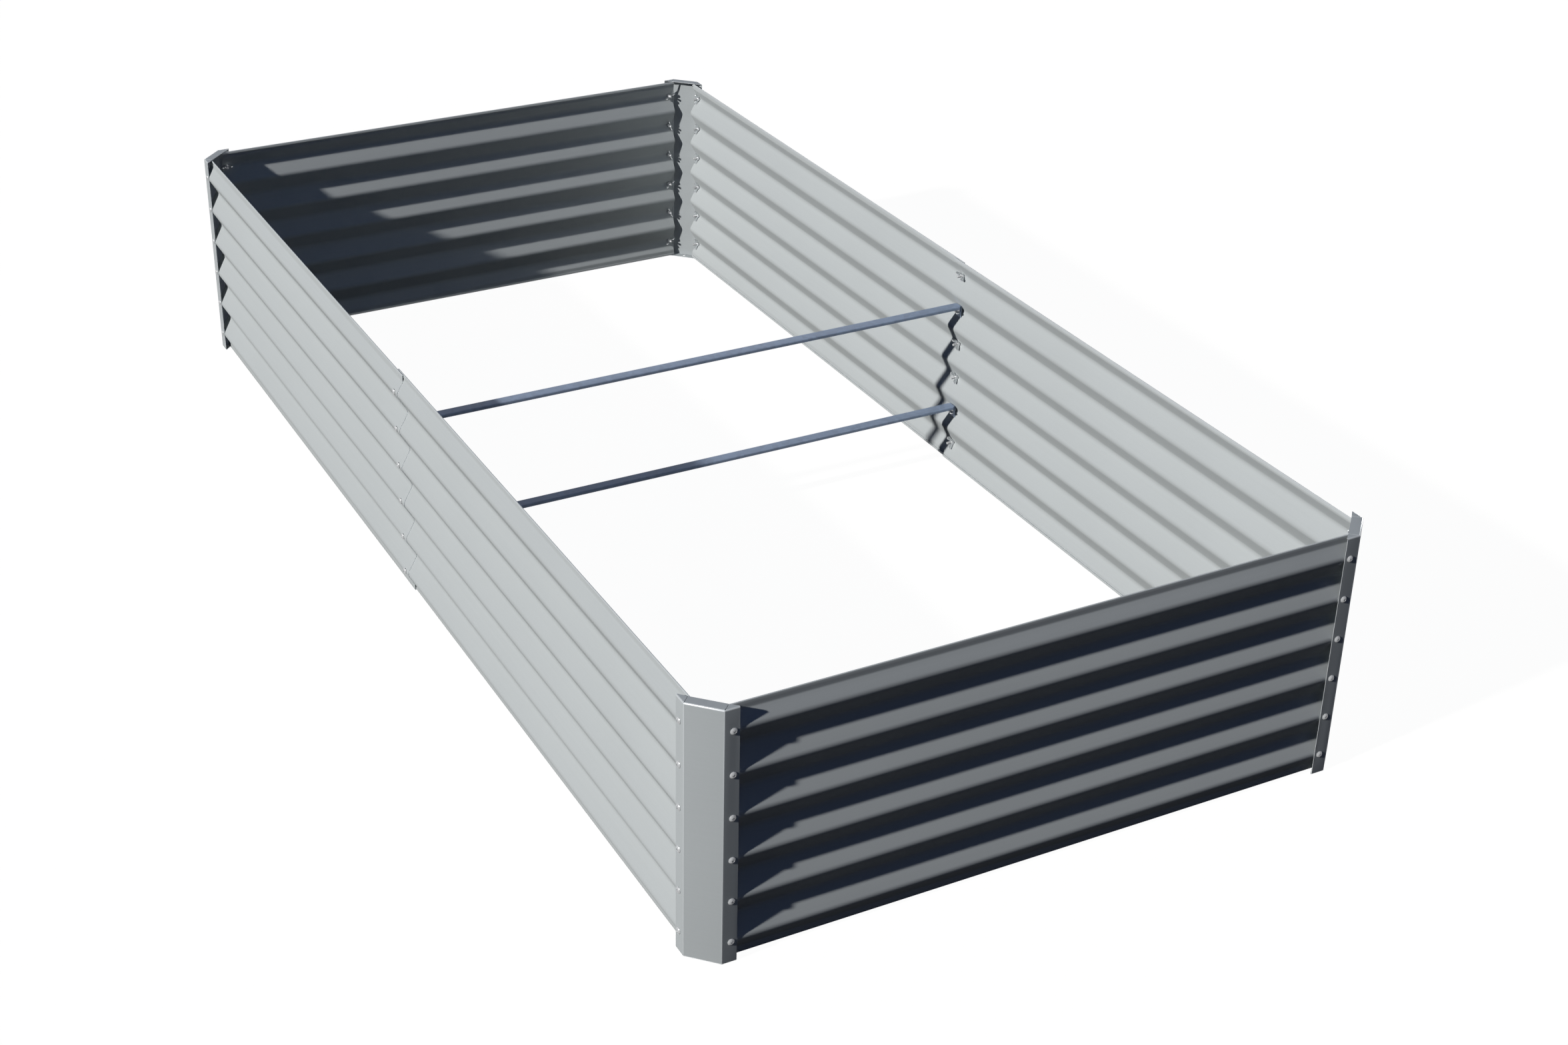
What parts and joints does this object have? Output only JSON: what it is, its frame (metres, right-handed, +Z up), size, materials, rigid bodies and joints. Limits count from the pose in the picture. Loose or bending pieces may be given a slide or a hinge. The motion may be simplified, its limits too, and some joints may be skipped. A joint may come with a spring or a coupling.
{
  "type": "raised garden bed",
  "caption": "Long low raised garden bed of corrugated steel sheet: lapped side panels and end panels screwed to folded corner posts, with thin cross braces joining the long sides.",
  "frame": {"origin": "middle of the footprint, on the ground under the posts' foot lips", "axes": "+X along the bed towards its front end, +Y across it towards its right side, +Z up"},
  "size_m": [2.2558, 1.1058, 0.41],
  "materials": {
    "panel_paint": "satin grey paint on corrugated galvanised steel sheet",
    "post_paint": "satin grey paint on folded steel sheet",
    "brace_steel": "bare galvanised steel strip",
    "screw_zinc": "bright zinc plate",
    "nut_zinc": "bright zinc plate"
  },
  "bodies": {
    "root": {"side_panel_left_front": "panel_paint", "side_panel_left_rear": "panel_paint", "side_panel_right_front": "panel_paint", "side_panel_right_rear": "panel_paint", "end_panel_front": "panel_paint", "end_panel_rear": "panel_paint", "corner_post_front_left": "post_paint", "corner_post_front_right": "post_paint", "corner_post_rear_left": "post_paint", "corner_post_rear_right": "post_paint", "cross_brace_upper": "brace_steel", "cross_brace_lower": "brace_steel", "screws_left_front": "screw_zinc", "screws_left_lap": "screw_zinc", "screws_left_rear": "screw_zinc", "screws_right_front": "screw_zinc", "screws_right_lap": "screw_zinc", "screws_right_rear": "screw_zinc", "screws_front_left": "screw_zinc", "screws_front_right": "screw_zinc", "screws_rear_left": "screw_zinc", "screws_rear_right": "screw_zinc", "wing_nuts_left_front": "nut_zinc", "wing_nuts_left_lap": "nut_zinc", "wing_nuts_left_rear": "nut_zinc", "wing_nuts_right_front": "nut_zinc", "wing_nuts_right_lap": "nut_zinc", "wing_nuts_right_rear": "nut_zinc", "wing_nuts_front_left": "nut_zinc", "wing_nuts_front_right": "nut_zinc", "wing_nuts_rear_left": "nut_zinc", "wing_nuts_rear_right": "nut_zinc"}
  },
  "joints": []
}
